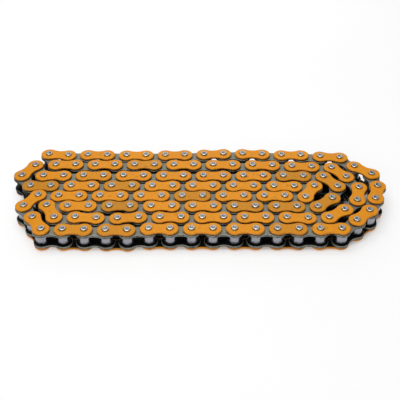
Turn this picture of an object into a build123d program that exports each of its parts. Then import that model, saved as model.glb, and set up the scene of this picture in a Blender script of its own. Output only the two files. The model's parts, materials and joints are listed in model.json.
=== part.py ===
from build123d import *
import math
import os

# A 420 size roller chain: one endless loop of 134 links, packed flat in eight nested rows.
# X runs along the rows, Y from the front row to the back row, Z is up along the pins.
# The origin is the middle of the loop's footprint, at the bottom ends of the pins.

# ---- driving dimensions, mm ----
PITCH = 12.7
LINKS = 134
INNER_WIDTH = 6.8
PLATE = 1.5
PLATE_GAP = 0.2
OUTER_PLATE_R = 5.15
OUTER_WAIST = 3.8
INNER_PLATE_R = 5.4
INNER_WAIST = 3.8
PLATE_BEVEL = 0.35
PIN_R = 1.985
HEAD_R = 2.1
HEAD_TOP_R = 1.9
HEAD_HEIGHT = 0.95
DIMPLE_R = 0.95
DIMPLE_FLOOR_R = 0.55
DIMPLE_DEPTH = 0.25
BUSH_R = 2.82
BUSH_STAND = 0.05
ROLLER_R = 3.885
ROLLER_GAP = 0.15
ROLLER_BEVEL = 0.3
RUNNING_FIT = 0.045
PRESS_FIT = 0.01

# ---- how the loop lies, in pitches and degrees ----
# Link k joins pin k to pin k + 1. Even links are outer links and odd links are inner links.
# Each stretch has the place of its first pin, the heading of each link that follows, and the
# side of the last two links' knee, which close the stretch onto the next one's first pin.
LEFT_KNEE = 1
RIGHT_KNEE = -1
STRETCHES = [
    # second row from the back, its left turn, the back row and the outer right turn
    ((5.67, 2.72), [177, 177, 178, 179] + [180] * 9 + [117]
     + [-5, 2, -1, -1, 0, 1, 1, 3, 3, 0, -2, -4, 0, -6, -5] + [-50, -38, -82, -105, -115], LEFT_KNEE),
    # front row and the outer left turn
    ((6.59, -2.04), [181] + [180] * 8 + [186] + [179] * 4 + [121, 123], LEFT_KNEE),
    # fifth row from the back
    ((-6.88, 0.36), [0] * 11 + [-4], RIGHT_KNEE),
    # fourth row from the back
    ((4.64, 1.11), [179, 179] + [180] * 11 + [123], LEFT_KNEE),
    # third row from the back and its right turn
    ((-7.83, 1.96), [0] * 12 + [-1] + [-2, -52, -112], LEFT_KNEE),
    # sixth row from the back
    ((4.64, -0.45), [180, 179, 180, 179] + [180] * 7 + [177], RIGHT_KNEE),
    # seventh row from the back and its right turn
    ((-5.90, -1.24), [-4, -1, 5] + [0] * 7 + [-3] + [3, 35, 46, 77, 121], RIGHT_KNEE),
]
# the first stretch starts this many pins before the back row's left end, which is pin 0
BACK_ROW_START = 14
# links 0 to 15 swing away from the loop in two runs, one from each end of the back row
SWINGING_LINKS = 16
# the loop is opened at this pin, in the middle of the back row
OPEN_PIN = 8

# ---- levels up the stack, mm above the floor ----
LOWER_OUTER = HEAD_HEIGHT
LOWER_INNER = LOWER_OUTER + PLATE + PLATE_GAP
ROLLER_SPACE = LOWER_INNER + PLATE
UPPER_INNER = ROLLER_SPACE + INNER_WIDTH
UPPER_OUTER = UPPER_INNER + PLATE + PLATE_GAP
PIN_TOP = UPPER_OUTER + PLATE + HEAD_HEIGHT


def step(point, heading):
    """The point one pitch further along a heading."""
    turn = math.radians(heading)
    return (point[0] + math.cos(turn), point[1] + math.sin(turn))


def knee(a, c, side):
    """The point one pitch from both a and c, to the left of the way from a to c if side is 1."""
    half_x = (c[0] - a[0]) / 2
    half_y = (c[1] - a[1]) / 2
    half = math.hypot(half_x, half_y)
    rise = side * math.sqrt(1 - half**2) / half
    return (a[0] + half_x - rise * half_y, a[1] + half_y + rise * half_x)


def pin_centres():
    """The centres of all the pins, mm, with pin 0 at the back row's left end."""
    points = []
    for number, (start, headings, side) in enumerate(STRETCHES):
        following = STRETCHES[(number + 1) % len(STRETCHES)][0]
        points.append(start)
        for heading in headings:
            points.append(step(points[-1], heading))
        points.append(knee(points[-1], following, side))
    points = points[BACK_ROW_START:] + points[:BACK_ROW_START]
    middle_x = (min(x for x, y in points) + max(x for x, y in points)) / 2
    middle_y = (min(y for x, y in points) + max(y for x, y in points)) / 2
    return [((x - middle_x) * PITCH, (y - middle_y) * PITCH) for x, y in points]


PINS = pin_centres()


def waist_radius(end_r, waist):
    """The radius of the hollow arc that meets both round ends of a plate and leaves the waist."""
    return ((PITCH / 2) ** 2 + waist**2 - end_r**2) / (2 * (end_r - waist))


def plate(end_r, waist, hole_r):
    """A waisted link plate on the XY plane, with its outer rim bevelled on the upper face."""
    hollow_r = waist_radius(end_r, waist)
    hollow_y = waist + hollow_r
    joint_x = PITCH / 2 * hollow_r / (end_r + hollow_r)
    joint_y = hollow_y * end_r / (end_r + hollow_r)
    tip_x = PITCH / 2 + end_r
    right_high = (joint_x, joint_y)
    right_low = (joint_x, -joint_y)
    left_high = (-joint_x, joint_y)
    left_low = (-joint_x, -joint_y)
    outline = Wire([
        ThreePointArc(right_low, (tip_x, 0), right_high),
        ThreePointArc(right_high, (0, waist), left_high),
        ThreePointArc(left_high, (-tip_x, 0), left_low),
        ThreePointArc(left_low, (0, -waist), right_low),
    ])
    body = extrude(Face(outline), PLATE)
    rim = body.faces().sort_by(Axis.Z)[-1].edges()
    body = chamfer(rim, PLATE_BEVEL)
    for x in (-PITCH / 2, PITCH / 2):
        body -= Pos(x, 0, PLATE / 2) * Cylinder(hole_r, 2 * PLATE)
    return body.solid()


def turned(profile):
    """A solid turned about Z from a profile of (radius, height) corners."""
    face = Face(Wire.make_polygon([(r, 0, z) for r, z in profile], close=True))
    return revolve(face, Axis.Z).solid()


def head_corners(base, way):
    """The riveted head's corners, from the plate at height base outwards, up or down."""
    end = base + way * HEAD_HEIGHT
    return [
        (PIN_R, base),
        (HEAD_R, base),
        (HEAD_TOP_R, end),
        (DIMPLE_R, end),
        (DIMPLE_FLOOR_R, end - way * DIMPLE_DEPTH),
        (0, end - way * DIMPLE_DEPTH),
    ]


def pin():
    upper = head_corners(PIN_TOP - HEAD_HEIGHT, 1)
    lower = head_corners(HEAD_HEIGHT, -1)
    return turned(upper + lower[::-1])


def pin_stub(base, way):
    """A pin cut short, which fills one outer plate and ends flush with its inner face."""
    inside = base - way * PLATE
    return turned(head_corners(base, way) + [(0, inside), (PIN_R, inside)])


def tube(outer_r, inner_r, low, high, bevel=0):
    body = Pos(0, 0, (low + high) / 2) * Cylinder(outer_r, high - low)
    if bevel:
        body = chamfer(body.edges(), bevel)
    body -= Pos(0, 0, (low + high) / 2) * Cylinder(inner_r, 2 * (high - low))
    return body.solid()


def on_link(solid, link, height, upright=True):
    """The plate of a link, with its bevelled face up, or down if it isn't upright."""
    (x, y), (next_x, next_y) = PINS[link], PINS[(link + 1) % LINKS]
    heading = math.degrees(math.atan2(next_y - y, next_x - x))
    place = Pos((x + next_x) / 2, (y + next_y) / 2, height) * Rot(0, 0, heading)
    if not upright:
        place = place * Pos(0, 0, PLATE) * Rot(180, 0, 0)
    return solid.moved(place)


def on_pin(solid, number):
    x, y = PINS[number % LINKS]
    return solid.moved(Pos(x, y, 0))


def write(node, solids):
    part = solids[0] if len(solids) == 1 else Compound(children=solids)
    export_step(part, f"parts/{node}.step")


outer_plate = plate(OUTER_PLATE_R, OUTER_WAIST, PIN_R + PRESS_FIT)
inner_plate = plate(INNER_PLATE_R, INNER_WAIST, BUSH_R + PRESS_FIT)
whole_pin = pin()
upper_stub = pin_stub(PIN_TOP - HEAD_HEIGHT, 1)
lower_stub = pin_stub(HEAD_HEIGHT, -1)
bush = tube(BUSH_R, PIN_R + RUNNING_FIT, LOWER_INNER - BUSH_STAND, UPPER_INNER + PLATE + BUSH_STAND)
roller = tube(
    ROLLER_R, BUSH_R + RUNNING_FIT, ROLLER_SPACE + ROLLER_GAP, UPPER_INNER - ROLLER_GAP, ROLLER_BEVEL
)

os.makedirs("parts", exist_ok=True)

# the packed part of the loop, which stays together
still = range(SWINGING_LINKS, LINKS)
outer_links = [k for k in still if k % 2 == 0]
inner_links = [k for k in still if k % 2 == 1]
write("loop_outer_plates_top", [on_link(outer_plate, k, UPPER_OUTER) for k in outer_links])
write("loop_outer_plates_bottom", [on_link(outer_plate, k, LOWER_OUTER, False) for k in outer_links])
write("loop_inner_plates_top", [on_link(inner_plate, k, UPPER_INNER) for k in inner_links])
write("loop_inner_plates_bottom", [on_link(inner_plate, k, LOWER_INNER, False) for k in inner_links])
write("loop_pins", [on_pin(whole_pin, n) for k in outer_links for n in (k, k + 1)])
write("loop_bushes", [on_pin(bush, n) for k in inner_links for n in (k, k + 1)])
write("loop_rollers", [on_pin(roller, n) for k in inner_links for n in (k, k + 1)])

# the links that swing, and the rollers that turn on their bushes
for k in range(SWINGING_LINKS):
    if k % 2 == 0:
        upper = on_link(outer_plate, k, UPPER_OUTER)
        lower = on_link(outer_plate, k, LOWER_OUTER, False)
        write(f"link_{k:02d}_plates", [upper, lower])
        whole = [n for n in (k, k + 1) if n != OPEN_PIN]
        write(f"link_{k:02d}_pins", [on_pin(whole_pin, n) for n in whole])
    else:
        upper = on_link(inner_plate, k, UPPER_INNER)
        lower = on_link(inner_plate, k, LOWER_INNER, False)
        write(f"link_{k:02d}_plates", [upper, lower])
        write(f"link_{k:02d}_bushes", [on_pin(bush, n) for n in (k, k + 1)])
        for n in (k, k + 1):
            write(f"roller_{n:02d}", [on_pin(roller, n)])
write(f"link_{OPEN_PIN:02d}_stubs", [on_pin(upper_stub, OPEN_PIN), on_pin(lower_stub, OPEN_PIN)])
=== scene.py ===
import bpy
import bmesh
import json
import math
import random
import numpy as np
from mathutils import Matrix, Vector


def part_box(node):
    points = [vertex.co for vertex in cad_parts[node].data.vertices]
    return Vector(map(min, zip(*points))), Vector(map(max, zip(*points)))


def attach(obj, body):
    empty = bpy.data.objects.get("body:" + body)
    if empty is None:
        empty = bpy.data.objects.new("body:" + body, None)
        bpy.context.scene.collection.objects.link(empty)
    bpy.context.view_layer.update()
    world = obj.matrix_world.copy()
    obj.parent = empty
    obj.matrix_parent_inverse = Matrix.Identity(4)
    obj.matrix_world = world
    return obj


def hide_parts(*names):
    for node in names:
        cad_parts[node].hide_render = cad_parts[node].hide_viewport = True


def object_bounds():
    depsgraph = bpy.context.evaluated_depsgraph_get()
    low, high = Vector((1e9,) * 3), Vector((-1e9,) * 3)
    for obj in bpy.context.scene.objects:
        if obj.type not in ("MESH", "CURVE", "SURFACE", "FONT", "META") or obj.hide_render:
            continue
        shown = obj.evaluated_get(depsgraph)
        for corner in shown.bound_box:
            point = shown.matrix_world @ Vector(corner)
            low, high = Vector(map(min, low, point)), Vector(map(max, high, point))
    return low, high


# The looks of a roller chain that lies packed flat in nested rows. Metres, X along the rows,
# Y from the front row to the back row, Z up along the pins.

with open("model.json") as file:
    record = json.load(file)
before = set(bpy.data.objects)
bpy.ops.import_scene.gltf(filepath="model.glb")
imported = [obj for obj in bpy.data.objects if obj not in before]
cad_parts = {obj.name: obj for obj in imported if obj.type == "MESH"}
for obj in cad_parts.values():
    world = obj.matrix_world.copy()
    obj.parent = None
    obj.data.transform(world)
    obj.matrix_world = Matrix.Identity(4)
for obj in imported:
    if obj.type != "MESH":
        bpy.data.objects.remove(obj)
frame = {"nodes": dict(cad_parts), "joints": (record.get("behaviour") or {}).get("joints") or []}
cad_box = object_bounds()
random.seed(420)

# ---- sizes, the CAD model's own ----
PITCH = 0.0127
OUTER_PLATE_R = 0.00515
OUTER_WAIST = 0.0038
INNER_PLATE_R = 0.0054
INNER_WAIST = 0.0038
PIN_R = 0.001985
HEAD_R = 0.0021
BUSH_R = 0.00282
ROLLER_R = 0.003885
ROLLER_BORE_R = 0.002865
ROLLER_BEVEL = 0.0003
PRESS_FIT = 0.00001
SWINGING_LINKS = 16
OPEN_PIN = 8

# the radius of the plates' rolled rims on their outer faces
OUTER_ROLL = 0.00045
INNER_ROLL = 0.00036

# edges sharper than this are shaded as edges
SHARP_ANGLE = math.radians(38)

# how far a pin may be turned at random, in radians
FULL_TURN = 6.28

# outer links whose coat is a darker golden brown than the others'
AGED_LINKS = {24: 0.5, 32: 0.5, 34: 0.35, 46: 0.7, 62: 0.8, 66: 0.9, 72: 0.3, 82: 0.8, 84: 0.4,
              86: 0.7, 88: 0.7, 90: 0.75, 96: 1.0, 104: 0.2, 128: 0.5}

# links on the outside of the imported loop, open to the light, whose plates and rollers get less painted
# shade than the rest
OUTSIDE_LINKS = range(40)


# ---- where the CAD puts each piece ----

def level(node):
    """The lowest and highest height of a CAD node."""
    low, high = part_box(node)
    return low.z, high.z


def middle(node):
    """The middle of a CAD node, seen from above."""
    low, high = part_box(node)
    return Vector(((low.x + high.x) / 2, (low.y + high.y) / 2))


def packed_pins():
    """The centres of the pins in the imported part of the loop, in no order."""
    pin_width = 2.2 * HEAD_R  # a little over a head's width, and far under the pitch
    mesh = frame["nodes"]["loop_pins"].data
    flat = np.array([v.co[:2] for v in mesh.vertices])
    centres = []
    while len(flat):
        own = np.linalg.norm(flat - flat[0], axis=1) < pin_width
        centres.append(Vector((flat[own].min(axis=0) + flat[own].max(axis=0)) / 2))
        flat = flat[~own]
    return centres


def pin_centres():
    """Every pin's centre, in order round the loop. The swinging links' pins are their joints."""
    pins = {OPEN_PIN: middle(f"link_{OPEN_PIN:02d}_stubs")}
    for joint in frame["joints"]:
        if joint["name"].startswith("pivot_"):
            pins[int(joint["name"][-2:])] = Vector(joint["pos_m"][:2])
    ordered = [pins[k] for k in range(SWINGING_LINKS + 1)]
    left = packed_pins()
    left.remove(min(left, key=lambda c: (c - ordered[-1]).length))
    while left:
        following = min(left, key=lambda c: abs((c - ordered[-1]).length - PITCH))
        left.remove(following)
        ordered.append(following)
    return ordered


PINS = pin_centres()
LINKS = len(PINS)
UPPER_OUTER = level("loop_outer_plates_top")
LOWER_OUTER = level("loop_outer_plates_bottom")
UPPER_INNER = level("loop_inner_plates_top")
LOWER_INNER = level("loop_inner_plates_bottom")
PIN_LEVEL = level("loop_pins")
ROLLER_LEVEL = level("loop_rollers")
PLATE = UPPER_OUTER[1] - UPPER_OUTER[0]


def plate_place(link, height, face_up):
    """The matrix that puts a plate on a link, with its outer face up or down."""
    start, end = PINS[link], PINS[(link + 1) % LINKS]
    across = end - start
    half_way = (start + end) / 2
    place = Matrix.Translation((half_way.x, half_way.y, height))
    place = place @ Matrix.Rotation(math.atan2(across.y, across.x), 4, "Z")
    if not face_up:
        place = place @ Matrix.Translation((0, 0, PLATE)) @ Matrix.Rotation(math.pi, 4, "X")
    return place


def pin_place(number):
    """The matrix that puts a piece on a pin, turned at random about it."""
    centre = PINS[number % LINKS]
    turn = random.uniform(0, FULL_TURN)
    return Matrix.Translation((centre.x, centre.y, 0)) @ Matrix.Rotation(turn, 4, "Z")


# ---- shapes, each made once: its vertices, their rim and painted shade values, and its faces ----
# rim is 1 on rolled edges, and the shade value is 1 where the surface is painted black: painted shade in
# the gaps between parts, in recesses and inside the rows, together with the chain's grease

def new_shape():
    bm = bmesh.new()
    bm.verts.layers.float.new("rim")
    bm.verts.layers.float.new("painted_shade")
    return bm


def arrays(bm):
    """A shape as plain arrays, with one row of rim and painted shade for each vertex."""
    layers = [bm.verts.layers.float[name] for name in ("rim", "painted_shade")]
    bmesh.ops.recalc_face_normals(bm, faces=bm.faces)
    bm.verts.index_update()
    shape = (
        np.array([v.co for v in bm.verts]),
        np.array([[v[layer] for layer in layers] for v in bm.verts]),
        [[v.index for v in f.verts] for f in bm.faces],
    )
    bm.free()
    return shape


def ring(bm, points, height, rim, painted_shade):
    """New vertices at one height, with their rim and painted shade values."""
    layers = bm.verts.layers.float
    verts = []
    for x, y in points:
        vert = bm.verts.new((x, y, height))
        vert[layers["rim"]] = rim
        vert[layers["painted_shade"]] = painted_shade
        verts.append(vert)
    return verts


def skin(bm, lower, upper):
    """Quads between two rings of the same length."""
    count = len(lower)
    for i in range(count):
        j = (i + 1) % count
        bm.faces.new((lower[i], lower[j], upper[j], upper[i]))


def loop_edges(bm, verts):
    """The edges round a ring, made where they are missing."""
    edges = []
    for i, vert in enumerate(verts):
        following = verts[(i + 1) % len(verts)]
        edges.append(bm.edges.get((vert, following)) or bm.edges.new((vert, following)))
    return edges


def waisted_outline(end_r, waist, inset):
    """A plate's outline, moved inwards by inset: two round ends joined by two hollow arcs."""
    half = PITCH / 2
    hollow_r = (half**2 + waist**2 - end_r**2) / (2 * (end_r - waist))
    hollow_y = waist + hollow_r
    meet = math.atan2(hollow_y, half)
    end_steps, hollow_steps = 26, 9
    points = []
    for side in (1, -1):
        for i in range(end_steps):
            turn = -(math.pi - meet) + 2 * (math.pi - meet) * i / end_steps
            x = half + (end_r - inset) * math.cos(turn)
            y = (end_r - inset) * math.sin(turn)
            points.append((side * x, side * y))
        for i in range(hollow_steps):
            turn = -meet - (math.pi - 2 * meet) * i / hollow_steps
            x = (hollow_r + inset) * math.cos(turn)
            y = hollow_y + (hollow_r + inset) * math.sin(turn)
            points.append((side * x, side * y))
    return points


def circle(radius, x=0.0, steps=32):
    return [
        (x + radius * math.cos(2 * math.pi * i / steps), radius * math.sin(2 * math.pi * i / steps))
        for i in range(steps)
    ]


def plate_shape(end_r, waist, hole_r, roll, side_shade):
    """A stamped plate with rolled rims, and a shallow coined ring round each hole. Its inner face is
    at height 0. side_shade is the painted shade at the inner rim, halfway up the side and at the outer
    rim."""
    bm = new_shape()
    hold = 0.0003  # a flat band beside each rolled rim, which keeps the face's shading flat
    steps = 4
    inner_shade, side, outer_shade = side_shade
    # the inner face, which faces the other plates, is painted fully black as shade
    profile = [(roll / 2 + hold, 0, 0, 1), (roll / 2, 0, 0.4, inner_shade)]
    for i in range(1, steps):
        turn = math.pi / 2 * i / steps
        inset = roll / 2 * (1 - math.sin(turn))
        profile.append((inset, roll / 2 * (1 - math.cos(turn)), 0.9, inner_shade))
    profile.append((0, roll / 2, 1, inner_shade))
    profile.append((0, PLATE / 2, 0.3, side))
    profile.append((0, PLATE - roll, 1, outer_shade))
    for i in range(1, steps):
        turn = math.pi / 2 * i / steps
        inset = roll * (1 - math.cos(turn))
        height = PLATE - roll * (1 - math.sin(turn))
        profile.append((inset, height, 1 - 0.15 * i, outer_shade * (1 - i / steps)))
    profile.append((roll, PLATE, 0.25, 0))
    profile.append((roll + hold, PLATE, 0, 0))
    rings = [
        ring(bm, waisted_outline(end_r, waist, inset), z, rim, painted_shade) for inset, z, rim, painted_shade in profile
    ]
    for lower, upper in zip(rings, rings[1:]):
        skin(bm, lower, upper)
    bottom_edges = loop_edges(bm, rings[0])
    top_edges = loop_edges(bm, rings[-1])
    coin = 0.00007
    for x in (-PITCH / 2, PITCH / 2):
        # the hole walls are painted black, and the coined ring round each hole partly, as painted shade
        # round the pin heads
        hole = [
            ring(bm, circle(hole_r, x), 0, 0, 1),
            ring(bm, circle(hole_r, x), PLATE - coin, 0, 1),
            ring(bm, circle(hole_r + 0.0002, x), PLATE - coin, 0.3, 0.35),
            ring(bm, circle(hole_r + 0.0004, x), PLATE, 0.3, 0.1),
            ring(bm, circle(hole_r + 0.0008, x), PLATE, 0, 0),
        ]
        for lower, upper in zip(hole, hole[1:]):
            skin(bm, lower, upper)
        bottom_edges += loop_edges(bm, hole[0])
        top_edges += loop_edges(bm, hole[-1])
    bmesh.ops.triangle_fill(bm, use_beauty=True, use_dissolve=False, normal=(0, 0, -1), edges=bottom_edges)
    bmesh.ops.triangle_fill(bm, use_beauty=True, use_dissolve=False, normal=(0, 0, 1), edges=top_edges)
    return arrays(bm)


def lathe_shape(profile, closed=False, steps=30):
    """A shape turned about Z. profile is (radius, height, rim, film), and its ends are capped, or
    joined if closed."""
    bm = new_shape()
    rings = [ring(bm, circle(r, 0, steps), z, rim, painted_shade) for r, z, rim, painted_shade in profile]
    for lower, upper in zip(rings, rings[1:]):
        skin(bm, lower, upper)
    if closed:
        skin(bm, rings[-1], rings[0])
    else:
        bm.faces.new(rings[0])
        bm.faces.new(rings[-1])
    return arrays(bm)


def head_profile(base, end):
    """A riveted head from the plate out to its dimple: an upright side, a round shoulder and a bowl. Its
    foot at the plate and its bowl are painted dark as shade, and its shoulder is a rim, which the pin
    steel paints light as a painted highlight.
    """
    rise = end - base
    return [
        (PIN_R, base, 0, 1),
        (HEAD_R, base + 0.02 * rise, 0, 0.4),
        (HEAD_R, base + 0.10 * rise, 0, 0.15),
        (0.00205, base + 0.30 * rise, 0, 0.05),
        (0.00200, base + 0.74 * rise, 0.2, 0),
        (0.00195, base + 0.88 * rise, 0.9, 0),
        (0.00186, base + 0.96 * rise, 1.0, 0),
        (0.00172, end, 1.0, 0),
        (0.00150, end, 0.25, 0),
        (0.00118, base + 0.97 * rise, 0, 0.08),
        (0.00075, base + 0.82 * rise, 0, 0.2),
        (0.00035, base + 0.78 * rise, 0, 0.25),
    ]


def tube_profile(outer_r, inner_r, low, high, bevel, least_shade):
    """A roller's section: its bevelled ends are painted black as shade, together with the chain's grease,
    and its middle is left unpainted unless least_shade asks for more."""
    small = bevel * 0.3
    third = (high - low) / 3
    points = [
        (inner_r + small, low, 0.3, 1),
        (outer_r - bevel, low, 0.6, 1),
        (outer_r - small, low + small, 1.0, 0.9),
        (outer_r, low + bevel, 0.8, 0.75),
        (outer_r, low + third, 0, 0.25),
        (outer_r, (low + high) / 2, 0, 0),
        (outer_r, high - third, 0, 0.05),
        (outer_r, high - bevel, 0.8, 0.25),
        (outer_r - small, high - small, 1.0, 0.5),
        (outer_r - bevel, high, 0.6, 1),
        (inner_r + small, high, 0.3, 1),
        (inner_r, high - small, 0.2, 1),
        (inner_r, low + small, 0.2, 1),
    ]
    return [(r, z, rim, max(painted_shade, least_shade)) for r, z, rim, painted_shade in points]


def outer_plate_shape(side_shade):
    return plate_shape(OUTER_PLATE_R, OUTER_WAIST, PIN_R + PRESS_FIT, OUTER_ROLL, side_shade)


def inner_plate_shape(side_shade):
    return plate_shape(INNER_PLATE_R, INNER_WAIST, BUSH_R + PRESS_FIT, INNER_ROLL, side_shade)


def roller_shape(least_shade):
    low, high = ROLLER_LEVEL
    profile = tube_profile(ROLLER_R, ROLLER_BORE_R, low, high, ROLLER_BEVEL, least_shade)
    return lathe_shape(profile, closed=True, steps=40)


# plate shapes with more or less painted shade: the rows' insides, where shade falls, are painted darker
# than the loop's outside
DARK_SHADED_PLATE_SHAPE = outer_plate_shape((0.9, 0.4, 0.1))
HALF_SHADED_PLATE_SHAPE = outer_plate_shape((0.7, 0.25, 0))
LIGHTLY_SHADED_PLATE_SHAPE = outer_plate_shape((0.2, 0, 0))
FULLY_SHADED_PLATE_SHAPE = outer_plate_shape((1, 1, 0.6))
INNER_PLATE_SHAPE = inner_plate_shape((0.4, 1, 0.85))
HALF_SHADED_INNER_SHAPE = inner_plate_shape((0.05, 0.5, 0.25))
ROLLER_SHAPE = roller_shape(0)
FULLY_SHADED_ROLLER_SHAPE = roller_shape(0.9)
PIN_BOTTOM, PIN_TOP = PIN_LEVEL
LOWER_HEAD = head_profile(LOWER_OUTER[0], PIN_BOTTOM)
UPPER_HEAD = head_profile(UPPER_OUTER[1], PIN_TOP)
PIN_SHAPE = lathe_shape(LOWER_HEAD[::-1] + UPPER_HEAD)
UPPER_STUB_SHAPE = lathe_shape(
    [(0.0001, UPPER_OUTER[0], 0, 1), (PIN_R, UPPER_OUTER[0], 0, 1)] + UPPER_HEAD
)
LOWER_STUB_SHAPE = lathe_shape(
    LOWER_HEAD[::-1] + [(PIN_R, LOWER_OUTER[1], 0, 1), (0.0001, LOWER_OUTER[1], 0, 1)]
)


# ---- materials ----

def shader(name):
    """A new material's node tree, its Principled node, and a function that adds a node."""
    material = bpy.data.materials.new(name)
    material.use_nodes = True
    tree = material.node_tree
    principled = tree.nodes["Principled BSDF"]

    def add(kind, inputs=None, **settings):
        node = tree.nodes.new(kind)
        for key, value in settings.items():
            setattr(node, key, value)
        for key, value in (inputs or {}).items():
            if isinstance(value, bpy.types.NodeSocket):
                tree.links.new(value, node.inputs[key])
            else:
                node.inputs[key].default_value = value
        return node

    return material, tree, principled, add


def noise(add, vector, scale, detail, roughness=0.55, stretch=None):
    """A noise value. stretch squeezes the pattern along an axis, for a grain."""
    if stretch:
        vector = add("ShaderNodeMapping", {"Vector": vector, "Scale": stretch}).outputs["Vector"]
    made = add(
        "ShaderNodeTexNoise",
        {"Vector": vector, "Scale": scale, "Detail": detail, "Roughness": roughness},
    )
    return made.outputs["Fac"]


def spread(add, value, low, high, to_low, to_high):
    """value between low and high, mapped to to_low and to_high."""
    made = add(
        "ShaderNodeMapRange",
        {"Value": value, "From Min": low, "From Max": high, "To Min": to_low, "To Max": to_high},
    )
    return made.outputs["Result"]


def mixed(add, factor, a, b):
    """A colour between a and b."""
    made = add("ShaderNodeMix", data_type="RGBA")
    for socket, value in ((made.inputs[0], factor), (made.inputs[6], a), (made.inputs[7], b)):
        if isinstance(value, bpy.types.NodeSocket):
            made.id_data.links.new(value, socket)
        else:
            socket.default_value = value
    return made.outputs[2]


def product(add, a, b):
    return add("ShaderNodeMath", {0: a, 1: b}, operation="MULTIPLY").outputs[0]


def attribute(add, name, output="Fac"):
    return add("ShaderNodeAttribute", attribute_name=name).outputs[output]


def bumped(add, tree, principled, height, strength, distance):
    bump = add("ShaderNodeBump", {"Height": height, "Strength": strength, "Distance": distance})
    tree.links.new(bump.outputs["Normal"], principled.inputs["Normal"])


# near black, the colour of the painted shade
SHADE_BLACK = (0.004, 0.004, 0.004, 1)


def with_painted_shade(add, tree, principled, colour, rough, patches):
    """Paints near black over a colour and a roughness where the shade value asks, with a ragged edge:
    painted shade in the gaps between parts, in recesses and inside the rows, together with the chain's
    grease.
    """
    ragged = spread(add, patches, 0.3, 0.7, -0.25, 0.25)
    painted_shade = add("ShaderNodeMath", {0: attribute(add, "painted_shade"), 1: ragged}, operation="ADD").outputs[0]
    painted_shade = spread(add, painted_shade, 0.1, 0.7, 0, 1)
    tree.links.new(mixed(add, painted_shade, colour, SHADE_BLACK), principled.inputs["Base Color"])
    tree.links.new(spread(add, painted_shade, 0, 1, rough, 0.62), principled.inputs["Roughness"])


def orange_coat():
    """Satin orange coat on steel: soft blotches, fine speckle, a faint drawn grain, and rims and sides
    painted a darker brown as painted shade.
    """
    material, tree, principled, add = shader("orange_coat")
    place = attribute(add, "grain", "Vector")
    blotch = noise(add, place, 260, 3)
    speckle = noise(add, place, 3200, 5, 0.65)
    drawn = noise(add, place, 900, 4, 0.6, stretch=(0.25, 2.2, 2.2))
    blotches = spread(add, blotch, 0.35, 0.65, 0, 1)
    colour = mixed(add, blotches, (0.72, 0.262, 0.001, 1), (0.80, 0.302, 0.002, 1))
    colour = mixed(add, spread(add, speckle, 0.45, 0.75, 0, 0.30), colour, (0.62, 0.215, 0.002, 1))
    colour = mixed(add, spread(add, drawn, 0.55, 0.8, 0, 0.22), colour, (0.86, 0.37, 0.012, 1))
    golden = mixed(add, blotch, (0.46, 0.19, 0.004, 1), (0.56, 0.24, 0.008, 1))
    age = product(add, attribute(add, "aged"), spread(add, drawn, 0.2, 0.6, 0.75, 1))
    colour = mixed(add, age, colour, golden)
    colour = mixed(add, spread(add, attribute(add, "tone"), 0, 1, 0, 0.14), colour, (0.52, 0.17, 0.005, 1))
    # painted shade: the rolled rims and the plates' sides are painted a darker brown
    colour = mixed(add, spread(add, attribute(add, "rim"), 0, 1, 0, 0.42), colour, (0.46, 0.13, 0.004, 1))
    scuff = noise(add, place, 1500, 2, 0.7, stretch=(0.35, 1.6, 1))
    colour = mixed(add, spread(add, scuff, 0.66, 0.74, 0, 0.35), colour, (0.90, 0.55, 0.22, 1))
    with_painted_shade(add, tree, principled, colour, spread(add, speckle, 0.3, 0.7, 0.36, 0.50), blotch)
    principled.inputs["Metallic"].default_value = 0.12
    principled.inputs["Specular IOR Level"].default_value = 0.28
    bumped(add, tree, principled, speckle, 0.25, 0.00006)
    return material


def steel(name, dark, light, rough, metallic, grain, grain_and_highlight_colour, highlight_amount, stretch=None, bump=0.2):
    """Bare steel: a mottled base, a fine grain, and rims painted lighter as a painted highlight."""
    material, tree, principled, add = shader(name)
    place = attribute(add, "grain", "Vector")
    mottle = noise(add, place, 420, 4)
    fine = noise(add, place, grain, 5, 0.65, stretch=stretch)
    colour = mixed(add, spread(add, mottle, 0.3, 0.7, 0, 1), dark, light)
    colour = mixed(add, spread(add, fine, 0.5, 0.8, 0, 0.35), colour, grain_and_highlight_colour)
    colour = mixed(add, spread(add, attribute(add, "tone"), 0, 1, 0, 0.3), colour, dark)
    # painted highlight: the rolled rims, bevels and pin heads' shoulders are painted lighter
    colour = mixed(add, spread(add, attribute(add, "rim"), 0, 1, 0, highlight_amount), colour, grain_and_highlight_colour)
    with_painted_shade(add, tree, principled, colour, spread(add, fine, 0.3, 0.7, rough[0], rough[1]), mottle)
    principled.inputs["Metallic"].default_value = metallic
    bumped(add, tree, principled, fine, bump, 0.00005)
    return material


def oiled_bush():
    """Dark oiled steel for the CAD's bushes, which show only through narrow gaps."""
    material, tree, principled, add = shader("oiled_bush")
    place = add("ShaderNodeTexCoord").outputs["Object"]
    mottle = noise(add, place, 500, 4)
    rings = noise(add, place, 700, 4, 0.6, stretch=(0.3, 0.3, 6))
    colour = mixed(add, mottle, (0.10, 0.10, 0.11, 1), (0.26, 0.26, 0.28, 1))
    tree.links.new(colour, principled.inputs["Base Color"])
    tree.links.new(spread(add, rings, 0.3, 0.7, 0.2, 0.42), principled.inputs["Roughness"])
    principled.inputs["Metallic"].default_value = 0.9
    bumped(add, tree, principled, rings, 0.3, 0.00004)
    return material


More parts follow.
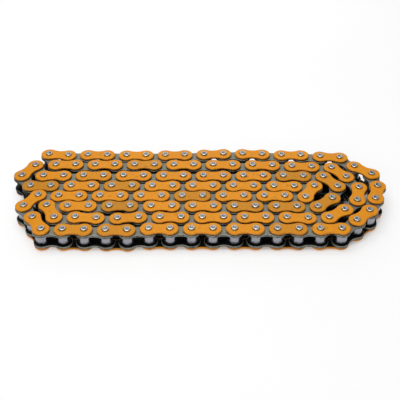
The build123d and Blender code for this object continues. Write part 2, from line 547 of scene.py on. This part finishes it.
ORANGE = orange_coat()
GREY = steel(
    "grey_plate", dark=(0.172, 0.176, 0.138, 1), light=(0.262, 0.264, 0.215, 1), rough=(0.36, 0.55),
    metallic=0.45, grain=2600, grain_and_highlight_colour=(0.40, 0.40, 0.37, 1), highlight_amount=0.35,
)
PIN_STEEL = steel(
    "pin_steel", dark=(0.27, 0.29, 0.29, 1), light=(0.38, 0.40, 0.40, 1), rough=(0.24, 0.38),
    metallic=1.0, grain=3000, grain_and_highlight_colour=(0.82, 0.82, 0.80, 1), highlight_amount=0.9, bump=0.12,
)
ROLLER_STEEL = steel(
    "roller_steel", dark=(0.26, 0.26, 0.295, 1), light=(0.38, 0.38, 0.425, 1), rough=(0.15, 0.26),
    metallic=1.0, grain=1500, grain_and_highlight_colour=(0.50, 0.50, 0.54, 1), highlight_amount=0.3, stretch=(0.6, 0.6, 5),
)
BUSH_STEEL = oiled_bush()


# ---- pieces ----

def piece(node, placed, material, body):
    """One object of several copies, which stands for a CAD node. placed is a list of
    (shape, matrix, tone, aged)."""
    coords, marks, tones, ages, grains, faces = [], [], [], [], [], []
    first = 0
    for (verts, rim_and_shade, polygons), place, tone, aged in placed:
        turn = np.array(place.to_3x3())
        coords.append(verts @ turn.T + np.array(place.translation))
        marks.append(rim_and_shade)
        tones.append(np.full(len(verts), tone))
        ages.append(np.full(len(verts), aged))
        grains.append(verts + np.array([random.random(), random.random(), random.random()]))
        faces += [[first + i for i in polygon] for polygon in polygons]
        first += len(verts)
    mesh = bpy.data.meshes.new(f"look_{node}")
    mesh.from_pydata(np.concatenate(coords).tolist(), [], faces)
    rims, shades = np.concatenate(marks).T
    values = {"rim": rims, "painted_shade": shades, "tone": np.concatenate(tones), "aged": np.concatenate(ages)}
    for name, numbers in values.items():
        mesh.attributes.new(name, "FLOAT", "POINT").data.foreach_set("value", numbers)
    grain = mesh.attributes.new("grain", "FLOAT_VECTOR", "POINT")
    grain.data.foreach_set("vector", np.concatenate(grains).ravel())
    mesh.polygons.foreach_set("use_smooth", np.ones(len(mesh.polygons), bool))
    mesh.set_sharp_from_angle(angle=SHARP_ANGLE)
    mesh.materials.append(material)
    obj = bpy.data.objects.new(f"look_{node}", mesh)
    bpy.context.scene.collection.objects.link(obj)
    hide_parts(node)
    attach(obj, body)


def outer_plate(link, height, face_up):
    """An outer plate: the loop's outside gets less painted shade than its rows' insides."""
    outside = link in OUTSIDE_LINKS
    if face_up:
        shape = HALF_SHADED_PLATE_SHAPE if outside else DARK_SHADED_PLATE_SHAPE
    else:
        shape = LIGHTLY_SHADED_PLATE_SHAPE if outside else FULLY_SHADED_PLATE_SHAPE
    return shape, plate_place(link, height, face_up), random.random(), AGED_LINKS.get(link, 0.0)


def inner_plate(link, height, face_up):
    shape = HALF_SHADED_INNER_SHAPE if link in OUTSIDE_LINKS else INNER_PLATE_SHAPE
    return shape, plate_place(link, height, face_up), random.random(), 0.0


def turned(shape, number):
    return shape, pin_place(number), random.random(), 0.0


def roller(number):
    """A roller: those buried inside the loop are painted nearly black all over, as painted shade."""
    return turned(ROLLER_SHAPE if number in OUTSIDE_LINKS else FULLY_SHADED_ROLLER_SHAPE, number)


packed_outer = range(SWINGING_LINKS, LINKS, 2)
packed_inner = range(SWINGING_LINKS + 1, LINKS, 2)
piece("loop_outer_plates_top", [outer_plate(k, UPPER_OUTER[0], True) for k in packed_outer],
      ORANGE, "loop")
piece("loop_outer_plates_bottom", [outer_plate(k, LOWER_OUTER[0], False) for k in packed_outer],
      ORANGE, "loop")
piece("loop_inner_plates_top", [inner_plate(k, UPPER_INNER[0], True) for k in packed_inner],
      GREY, "loop")
piece("loop_inner_plates_bottom", [inner_plate(k, LOWER_INNER[0], False) for k in packed_inner],
      GREY, "loop")
piece("loop_pins", [turned(PIN_SHAPE, n) for k in packed_outer for n in (k, k + 1)],
      PIN_STEEL, "loop")
piece("loop_rollers", [roller(n) for k in packed_inner for n in (k, k + 1)],
      ROLLER_STEEL, "loop")

for k in range(SWINGING_LINKS):
    link = f"link_{k:02d}"
    if k % 2 == 0:
        plates = [outer_plate(k, UPPER_OUTER[0], True), outer_plate(k, LOWER_OUTER[0], False)]
        piece(f"{link}_plates", plates, ORANGE, link)
        whole = [n for n in (k, k + 1) if n != OPEN_PIN]
        piece(f"{link}_pins", [turned(PIN_SHAPE, n) for n in whole], PIN_STEEL, link)
    else:
        plates = [inner_plate(k, UPPER_INNER[0], True), inner_plate(k, LOWER_INNER[0], False)]
        piece(f"{link}_plates", plates, GREY, link)
        for n in (k, k + 1):
            name = f"roller_{n:02d}"
            piece(name, [roller(n)], ROLLER_STEEL, name)
stubs = [turned(UPPER_STUB_SHAPE, OPEN_PIN), turned(LOWER_STUB_SHAPE, OPEN_PIN)]
piece(f"link_{OPEN_PIN:02d}_stubs", stubs, PIN_STEEL, f"link_{OPEN_PIN:02d}")

for name, node in frame["nodes"].items():
    if name.endswith("_bushes"):
        node.data.materials[0] = BUSH_STEEL


# ---- floor, light and camera ----

# the floor's painted glow round the chain, which washes out its contact shadow
FLOOR_GLOW = 0.5
# where the glow starts and is full, outside the chain's round-ended outline, or inside it if negative
GLOW_STARTS = -0.010
GLOW_FULL = -0.002
# the floor's half width, in lengths of the chain
FLOOR_REACH = 20
WORLD_STRENGTH = 0.18


def floor_material(low, high):
    """A white floor that glows softly, a painted glow which washes out the chain's contact shadow, but not
    under the chain, so the gaps stay dark.
    """
    material, tree, principled, add = shader("floor")
    place = add("ShaderNodeTexCoord").outputs["Object"]
    soft = noise(add, place, 9, 3)
    half_x, half_y = (high.x - low.x) / 2, (high.y - low.y) / 2
    axes = add("ShaderNodeSeparateXYZ", {"Vector": place}).outputs
    across = add("ShaderNodeMath", {0: axes["X"]}, operation="ABSOLUTE").outputs[0]
    across = add("ShaderNodeMath", {0: across, 1: half_x - half_y}, operation="SUBTRACT").outputs[0]
    across = add("ShaderNodeMath", {0: across, 1: 0.0}, operation="MAXIMUM").outputs[0]
    corner = add("ShaderNodeCombineXYZ", {"X": across, "Y": axes["Y"]}).outputs["Vector"]
    away = add("ShaderNodeVectorMath", {0: corner}, operation="LENGTH").outputs["Value"]
    outside = add("ShaderNodeMath", {0: away, 1: half_y}, operation="SUBTRACT").outputs[0]
    glow = spread(add, outside, GLOW_STARTS, GLOW_FULL, 0, FLOOR_GLOW)
    tree.links.new(glow, principled.inputs["Emission Strength"])
    principled.inputs["Emission Color"].default_value = (1, 1, 1, 1)
    white = mixed(add, soft, (0.47, 0.47, 0.47, 1), (0.50, 0.50, 0.50, 1))
    tree.links.new(white, principled.inputs["Base Color"])
    tree.links.new(spread(add, soft, 0.3, 0.7, 0.75, 0.85), principled.inputs["Roughness"])
    principled.inputs["Specular IOR Level"].default_value = 0.2
    return material


low, high = cad_box
floor_mesh = bpy.data.meshes.new("floor")
reach = FLOOR_REACH * (high.x - low.x)
floor_mesh.from_pydata(
    [(-reach, -reach, low.z), (reach, -reach, low.z), (reach, reach, low.z), (-reach, reach, low.z)],
    [], [(0, 1, 2, 3)],
)
floor_mesh.materials.append(floor_material(low, high))
floor = bpy.data.objects.new("floor", floor_mesh)
bpy.context.scene.collection.objects.link(floor)


def area_light(name, place, size, power):
    """A square soft white light at place, aimed at the chain."""
    data = bpy.data.lights.new(name, "AREA")
    data.shape = "SQUARE"
    data.size = size
    data.energy = power
    obj = bpy.data.objects.new(name, data)
    aim = Vector(((low.x + high.x) / 2, (low.y + high.y) / 2, low.z)) - Vector(place)
    obj.matrix_world = Matrix.Translation(place) @ aim.to_track_quat("-Z", "Y").to_matrix().to_4x4()
    bpy.context.scene.collection.objects.link(obj)


area_light("overhead", (-0.15, -0.05, 1.00), size=0.9, power=9.2)
area_light("front", (-0.30, -0.90, 0.45), size=0.5, power=1.8)
area_light("back", (0.00, 0.42, 0.27), size=0.4, power=0.42)

world = bpy.data.worlds.new("studio")
world.use_nodes = True
world.node_tree.nodes["Background"].inputs["Color"].default_value = (1, 1, 1, 1)
world.node_tree.nodes["Background"].inputs["Strength"].default_value = WORLD_STRENGTH
bpy.context.scene.world = world
bpy.context.scene.view_settings.view_transform = "Standard"

# the camera stands in front of the chain, a little over half a metre away
LENS_MM = 76.95
SENSOR_MM = 36.0
DISTANCE = 0.5241
ELEVATION = math.radians(39.26)
AZIMUTH = math.radians(-0.39)
ROLL = math.radians(0.31)
AIM_RIGHT = 0.0007
AIM_FORWARD = -0.0106
AIM_BELOW_TOP = 0.00085

camera_data = bpy.data.cameras.new("camera")
camera_data.lens = LENS_MM
camera_data.sensor_width = SENSOR_MM
camera_data.clip_start = 0.01
camera = bpy.data.objects.new("camera", camera_data)
bpy.context.scene.collection.objects.link(camera)
bpy.context.scene.camera = camera
back = Vector((
    math.sin(AZIMUTH) * math.cos(ELEVATION),
    -math.cos(AZIMUTH) * math.cos(ELEVATION),
    math.sin(ELEVATION),
))
level_right = Vector((math.cos(AZIMUTH), math.sin(AZIMUTH), 0))
level_up = back.cross(level_right)
right = level_right * math.cos(ROLL) + level_up * math.sin(ROLL)
up = level_up * math.cos(ROLL) - level_right * math.sin(ROLL)
aim = Vector((
    (low.x + high.x) / 2 + AIM_RIGHT,
    (low.y + high.y) / 2 + AIM_FORWARD,
    high.z - AIM_BELOW_TOP,
))
turned_to = Matrix((right, up, back)).transposed().to_4x4()
camera.matrix_world = Matrix.Translation(aim + back * DISTANCE) @ turned_to
